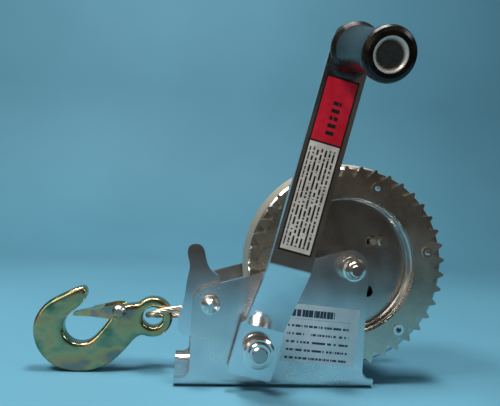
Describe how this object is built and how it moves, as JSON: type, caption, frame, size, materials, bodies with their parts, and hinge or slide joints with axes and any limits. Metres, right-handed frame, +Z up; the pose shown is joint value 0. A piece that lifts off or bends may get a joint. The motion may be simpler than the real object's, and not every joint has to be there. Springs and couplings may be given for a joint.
{
  "type": "boat trailer winch",
  "caption": "Hand winch with a bent steel channel frame, geared rope drum, cranked handle with a turning grip, ratchet pawl, and wire rope ending in a latched hook.",
  "frame": {"origin": "centre of the underside of the base", "axes": "+Z up, +X from the hook towards the drum gear, -Y towards the crank side"},
  "size_m": [0.2731, 0.1656, 0.225],
  "materials": {
    "zinc_sheet": "bright zinc plate",
    "zinc_gear": "zinc plate, dull",
    "zinc_pan": "zinc plate, bright",
    "zinc_fastener": "bright zinc plate",
    "zinc_arm": "bright zinc plate",
    "steel_bar": "turned steel",
    "wire_rope": "stranded wire",
    "hook_chromate": "yellow chromate, iridescent",
    "latch_chromate": "yellow chromate, iridescent",
    "grip_plastic": "gloss black",
    "plug_dark": "matt black",
    "label_warning": "printed film",
    "label_rating": "silver printed film",
    "spring_wire": "spring wire"
  },
  "bodies": {
    "frame": {"frame": "zinc_sheet", "axle_bolt": "zinc_fastener", "axle_sleeve": "steel_bar", "axle_washers": "zinc_fastener", "axle_nut": "zinc_fastener", "rating_label": "label_rating", "pawl_bolt": "zinc_fastener", "pawl_nut": "zinc_fastener", "pawl_spacer": "steel_bar", "pawl_washer": "zinc_fastener", "pawl_spring": "spring_wire", "rope_free": "wire_rope", "rope_ferrule": "zinc_fastener"},
    "drum": {"drum_gear": "zinc_gear", "drum_pan": "zinc_pan", "drum_barrel": "zinc_sheet", "rope_disc": "zinc_sheet", "far_flange": "zinc_sheet", "rope_winding": "wire_rope", "gear_rivets": "zinc_fastener", "rope_end": "wire_rope", "rope_clamp": "zinc_fastener"},
    "crank": {"crank_shaft": "steel_bar", "pinion": "steel_bar", "crank_far_washer": "zinc_fastener", "crank_clip": "spring_wire", "crank_spacer": "steel_bar", "crank_washer": "zinc_fastener", "crank_nut": "zinc_fastener", "crank_arm": "zinc_arm", "grip_pin": "steel_bar", "grip_cup": "zinc_fastener", "grip_plug": "plug_dark", "arm_label": "label_warning"},
    "grip": {"grip": "grip_plastic"},
    "pawl": {"pawl": "zinc_arm"},
    "hook": {"hook": "hook_chromate", "latch_rivet": "latch_chromate"},
    "latch": {"hook_latch": "latch_chromate"}
  },
  "joints": [
    {"name": "drum_spin", "type": "hinge", "parent": "frame", "child": "drum", "pos_m": [0.046, 0, 0.079], "axis": [0, 1, 0], "continuous": true},
    {"name": "crank_spin", "type": "hinge", "parent": "frame", "child": "crank", "pos_m": [-0.0137, 0, 0.0272], "axis": [0, 1, 0], "continuous": true},
    {"name": "grip_spin", "type": "hinge", "parent": "crank", "child": "grip", "pos_m": [0.02893, -0.062, 0.21184], "axis": [0, -0.9563, -0.2924], "continuous": true},
    {"name": "pawl_tilt", "type": "hinge", "parent": "frame", "child": "pawl", "pos_m": [-0.044, 0, 0.053], "axis": [0, 1, 0], "range_deg": [-12, 1]},
    {"name": "hook_swing", "type": "hinge", "parent": "frame", "child": "hook", "pos_m": [-0.0811, 0.0015, 0.0375], "axis": [0, 1, 0], "range_deg": [0, 60]},
    {"name": "latch_open", "type": "hinge", "parent": "hook", "child": "latch", "pos_m": [-0.1034, 0.0015, 0.0411], "axis": [0, 1, 0], "range_deg": [-20, 0], "stiffness_Nm_per_rad": 0.03, "springref_deg": 22.92}
  ],
  "couplings": [
    {"joint": "crank_spin", "follows": "drum_spin", "ratio": -4.1}
  ]
}
